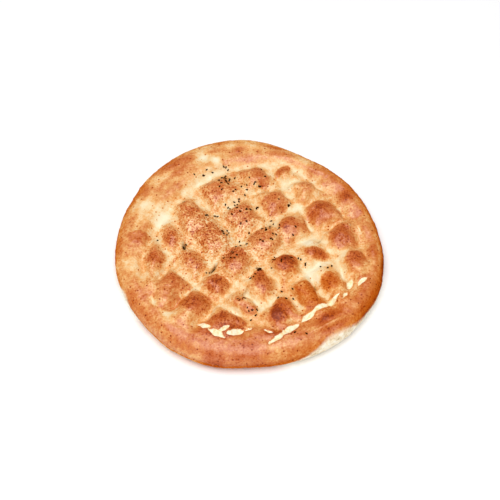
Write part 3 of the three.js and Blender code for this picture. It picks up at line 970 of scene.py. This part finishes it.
class Nodes:
    """A material's nodes, added and linked one at a time."""

    def __init__(self, name):
        self.material = bpy.data.materials.new(name)
        self.material.use_nodes = True
        self.tree = self.material.node_tree
        self.shader = self.tree.nodes["Principled BSDF"]

    def link(self, source, target):
        self.tree.links.new(source, target)

    def fill(self, socket, value):
        if isinstance(value, bpy.types.NodeSocket):
            self.link(value, socket)
        else:
            socket.default_value = value

    def attribute(self, name):
        node = self.tree.nodes.new("ShaderNodeAttribute")
        node.attribute_name = name
        return node.outputs["Fac"]

    def math(self, operation, a, b, clamp=False):
        node = self.tree.nodes.new("ShaderNodeMath")
        node.operation = operation
        node.use_clamp = clamp
        self.fill(node.inputs[0], a)
        self.fill(node.inputs[1], b)
        return node.outputs[0]

    def spread(self, value, low, high, to_low=0.0, to_high=1.0):
        """Spreads what lies between low and high over another range, and holds the rest at its ends."""
        node = self.tree.nodes.new("ShaderNodeMapRange")
        node.interpolation_type = "SMOOTHSTEP"
        for socket, number in zip(node.inputs, (value, low, high, to_low, to_high)):
            self.fill(socket, number)
        return node.outputs[0]

    def place(self):
        return self.tree.nodes.new("ShaderNodeTexCoord").outputs["Object"]

    def noise(self, size, detail, roughness):
        node = self.tree.nodes.new("ShaderNodeTexNoise")
        self.link(self.place(), node.inputs["Vector"])
        node.inputs["Scale"].default_value = 1 / (size * MM)
        node.inputs["Detail"].default_value = detail
        node.inputs["Roughness"].default_value = roughness
        return node.outputs["Fac"]

    def cells(self, size):
        """How far each place is from the middle of its cell, and a draw for the cell."""
        node = self.tree.nodes.new("ShaderNodeTexVoronoi")
        self.link(self.place(), node.inputs["Vector"])
        node.inputs["Scale"].default_value = 1 / (size * MM)
        return node.outputs["Distance"], node.outputs["Color"]

    def ramp(self, value, stops):
        node = self.tree.nodes.new("ShaderNodeValToRGB")
        elements = node.color_ramp.elements
        while len(elements) < len(stops):
            elements.new(1)
        for element, (position, shade) in zip(elements, stops):
            element.position = position
            element.color = shade
        self.link(value, node.inputs["Fac"])
        return node.outputs["Color"]

    def mix(self, share, a, b):
        node = self.tree.nodes.new("ShaderNodeMix")
        node.data_type = "RGBA"
        self.fill(node.inputs["Factor"], share)
        self.fill(node.inputs["A"], a)
        self.fill(node.inputs["B"], b)
        return node.outputs["Result"]

    def bump(self, height, distance):
        node = self.tree.nodes.new("ShaderNodeBump")
        node.inputs["Distance"].default_value = distance * MM
        self.link(height, node.inputs["Height"])
        return node.outputs["Normal"]


# Colours of the crust by its browning, of the painted shade in its slits, and of crumb, flour, seeds and
# floor by their noise
BAKE_COLOURS = [
    (0.0, colour(240, 227, 194)),
    (0.2, colour(237, 208, 160)),
    (0.38, colour(228, 167, 99)),
    (0.55, colour(207, 119, 47)),
    (0.7, colour(193, 97, 25)),
    (0.85, colour(179, 78, 13)),
    (1.0, colour(136, 49, 6)),
]
CRUMB_COLOURS = [
    (0.36, colour(236, 206, 154)),
    (0.46, colour(246, 228, 188)),
    (0.62, colour(252, 242, 215)),
]
DUST_COLOURS = [
    (0.32, colour(190, 162, 126)),
    (0.41, colour(232, 211, 176)),
    (0.5, colour(247, 232, 202)),
    (0.62, colour(253, 246, 228)),
]
# Painted shade for the deep slits
PAINTED_SLIT_SHADE = colour(92, 62, 26)
SEED_COLOURS = [(0.3, colour(40, 16, 2)), (0.7, colour(60, 29, 6))]
FLOOR_COLOURS = [(0, colour(250, 250, 250)), (1, colour(253, 253, 253))]

# Noise: its size in millimetres, its detail and its roughness. Skin and wrinkles also have a height.
FRECKLE_NOISE = (1.8, 2, 0.6)
MOTTLING_NOISE = (7, 5, 0.65)
CRUMB_NOISE = (3, 4, 0.6)
DUST_NOISE = (6, 4, 0.65)
SKIN_NOISE = (1.3, 3, 0.6)
SKIN_HEIGHT = 0.3
SEED_NOISE = (0.7, 3, 0.55)
WRINKLE_NOISE = (0.35, 2, 0.55)
WRINKLE_HEIGHT = 0.15
FLOOR_NOISE = (40, 3, 0.55)

# Round marks: the size of the cells that they lie in, the distance from the middle over which they fade,
# the draws over which a cell gets one, and how much they brown the crust
DOTS = (2.4, (0.55, 0.22), (0.35, 0.65))
DOT_BROWNING = 0.9
SPECKS = (5, (0.22, 0.1), (0.5, 0.54))
SPECK_BROWNING = 0.55

# Ranges, each from low to high, and what they are spread over where that isn't from 0 to 1
FRECKLE_RANGE = (0.36, 0.66, -0.55, 0.3)
FRECKLES_BY_BAKE = (0.15, 0.7, 0.4, 1.35)
MOTTLING_RANGE = (0.32, 0.68, -0.5, 0.5)
MOTTLING_BY_FRECKLES = (RIM_FRECKLES, LATTICE_FRECKLES, 0.13, 0.21)
CRUMB_EDGE = (-0.3, 0.3)
FLOUR_EDGE = (0.15, 0.9)
ROUGHNESS_BY_BAKE = (0.1, 0.6, 0.65, 0.46)

# How far freckles eat into the edge of the crumb, and mottling into the flour
CRUMB_RAGGEDNESS = 0.5
FLOUR_PATCHINESS = 0.15

# Shine: of the crust's coat, of the seeds and of the floor
COAT_IOR = 1.65
COAT_ROUGHNESS = 0.34
SEED_ROUGHNESS = 0.7
FLOOR_ROUGHNESS = 0.9


def round_marks(n, size, edge, chance):
    """Round marks in some of the cells of a given size."""
    distance, draw = n.cells(size)
    return n.math("MULTIPLY", n.spread(distance, *edge), n.spread(draw, *chance))


def freckles_on(n):
    """Freckles of the crust, paler and darker, before their strength is known."""
    dots = n.math("MULTIPLY", round_marks(n, *DOTS), DOT_BROWNING)
    return n.math("ADD", dots, n.spread(n.noise(*FRECKLE_NOISE), *FRECKLE_RANGE))


def marked_bake(n, freckles, mottling):
    """The browning with its freckles, its mottling and dark specks."""
    bake = n.attribute("bake")
    freckling = n.math("MULTIPLY", n.attribute("freckled"), n.spread(bake, *FRECKLES_BY_BAKE))
    mottled = n.spread(n.attribute("freckled"), *MOTTLING_BY_FRECKLES)
    marked = n.math("ADD", bake, n.math("MULTIPLY", freckles, freckling))
    marked = n.math("ADD", marked, n.math("MULTIPLY", mottling, mottled))
    return n.math("ADD", marked, n.math("MULTIPLY", round_marks(n, *SPECKS), SPECK_BROWNING))


def gloss_on(n, bake, openings):
    """How glossy the crust is: most where it is crisp, less where it is pale or dry, none in openings."""
    crisp = n.spread(n.attribute("bake"), *CRISP_BAKES, DULLEST_GLAZE, 1)
    dry = n.spread(bake, *DRY_BAKES, 1, DRIEST_GLAZE)
    gloss = n.math("MULTIPLY", n.attribute("glaze"), n.math("MULTIPLY", crisp, dry))
    for opening in openings:
        gloss = n.math("MULTIPLY", gloss, n.math("SUBTRACT", 1.0, opening))
    return gloss


def crust_material():
    """Baked dough: cream in the grooves, golden to dark brown where it rose, freckled all over."""
    n = Nodes("crust")
    freckles = freckles_on(n)
    mottling = n.spread(n.noise(*MOTTLING_NOISE), *MOTTLING_RANGE)
    bake = marked_bake(n, freckles, mottling)
    ragged = n.math("ADD", n.attribute("torn"), n.math("MULTIPLY", freckles, CRUMB_RAGGEDNESS))
    torn_open = n.spread(ragged, *CRUMB_EDGE)
    slit_shade = n.math("MULTIPLY", n.attribute("slit_shade"), 1.0, clamp=True)
    patchy = n.math("ADD", n.attribute("flour"), n.math("MULTIPLY", mottling, FLOUR_PATCHINESS))
    shade = n.ramp(bake, BAKE_COLOURS)
    shade = n.mix(torn_open, shade, n.ramp(n.noise(*CRUMB_NOISE), CRUMB_COLOURS))
    # Painted shade darkens the deep slits
    shade = n.mix(slit_shade, shade, PAINTED_SLIT_SHADE)
    shade = n.mix(n.spread(patchy, *FLOUR_EDGE), shade, n.ramp(n.noise(*DUST_NOISE), DUST_COLOURS))
    skin = n.bump(n.noise(*SKIN_NOISE), SKIN_HEIGHT)
    n.link(shade, n.shader.inputs["Base Color"])
    n.link(n.spread(bake, *ROUGHNESS_BY_BAKE), n.shader.inputs["Roughness"])
    n.link(skin, n.shader.inputs["Normal"])
    n.shader.inputs["Specular IOR Level"].default_value = 0.0
    n.link(gloss_on(n, bake, (torn_open, slit_shade)), n.shader.inputs["Coat Weight"])
    n.link(skin, n.shader.inputs["Coat Normal"])
    n.shader.inputs["Coat IOR"].default_value = COAT_IOR
    n.shader.inputs["Coat Roughness"].default_value = COAT_ROUGHNESS
    return n.material


def seed_material():
    """Nigella seeds: nearly black, matt and wrinkled."""
    n = Nodes("nigella")
    n.link(n.ramp(n.noise(*SEED_NOISE), SEED_COLOURS), n.shader.inputs["Base Color"])
    n.shader.inputs["Roughness"].default_value = SEED_ROUGHNESS
    n.shader.inputs["Specular IOR Level"].default_value = 0.0
    n.link(n.bump(n.noise(*WRINKLE_NOISE), WRINKLE_HEIGHT), n.shader.inputs["Normal"])
    return n.material


def floor_material():
    """A plain, pale and dull surface."""
    n = Nodes("floor")
    n.link(n.ramp(n.noise(*FLOOR_NOISE), FLOOR_COLOURS), n.shader.inputs["Base Color"])
    n.shader.inputs["Roughness"].default_value = FLOOR_ROUGHNESS
    return n.material


def make_floor():
    """A plain pale floor under the loaf."""
    bpy.ops.mesh.primitive_plane_add(size=FLOOR_SIZE)
    floor = bpy.context.object
    floor.name = "floor"
    floor.data.materials.append(floor_material())


def add_softbox(name, place, size, power):
    """A round softbox that shines at the middle of the loaf."""
    data = bpy.data.lights.new(name, "AREA")
    data.shape = "DISK"
    data.size = size
    data.energy = power
    lamp = bpy.data.objects.new(name, data)
    lamp.location = place
    lamp.rotation_euler = (-Vector(place)).to_track_quat("-Z", "Y").to_euler()
    bpy.context.scene.collection.objects.link(lamp)


def light_scene():
    """Soft white light from all round, from overhead and from the front."""
    world = bpy.data.worlds.new("studio")
    world.use_nodes = True
    background = world.node_tree.nodes["Background"]
    background.inputs["Color"].default_value = (1, 1, 1, 1)
    background.inputs["Strength"].default_value = LIGHT_ALL_ROUND
    bpy.context.scene.world = world
    for lamp in LAMPS:
        add_softbox(*lamp)
    bpy.context.scene.view_settings.view_transform = "Standard"


def add_camera():
    """A camera in front of the loaf that looks down at it."""
    data = bpy.data.cameras.new("camera")
    data.sensor_width = SENSOR_WIDTH
    data.lens = FOCAL_PIXELS / IMAGE_PIXELS * SENSOR_WIDTH
    camera = bpy.data.objects.new("camera", data)
    lift = math.radians(CAMERA_ELEVATION)
    back = Vector((0, -math.cos(lift), math.sin(lift)))
    camera.location = (Vector(AIM) + back * CAMERA_DISTANCE) * MM
    camera.rotation_euler = (math.radians(90 - CAMERA_ELEVATION), 0, 0)
    bpy.context.scene.collection.objects.link(camera)
    bpy.context.scene.camera = camera


def set_down(*pieces):
    """Moves the pieces so that the outline's middle is over the middle of the part's box."""
    angle = np.linspace(0, 2 * math.pi, OUTLINE_STEPS)
    radius = outline_radius(angle)
    low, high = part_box("pide")
    for axis, reach in enumerate((radius * np.cos(angle), radius * np.sin(angle))):
        own = (reach.min() + reach.max()) / 2 * MM
        for piece in pieces:
            piece.location[axis] = (low[axis] + high[axis]) / 2 - own


crust = make_crust()
crust.data.materials.append(crust_material())
seeds = make_seeds()
seeds.data.materials.append(seed_material())
set_down(crust, seeds)
for piece in (crust, seeds):
    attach(piece, "root")
    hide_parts("pide")

make_floor()
light_scene()
add_camera()
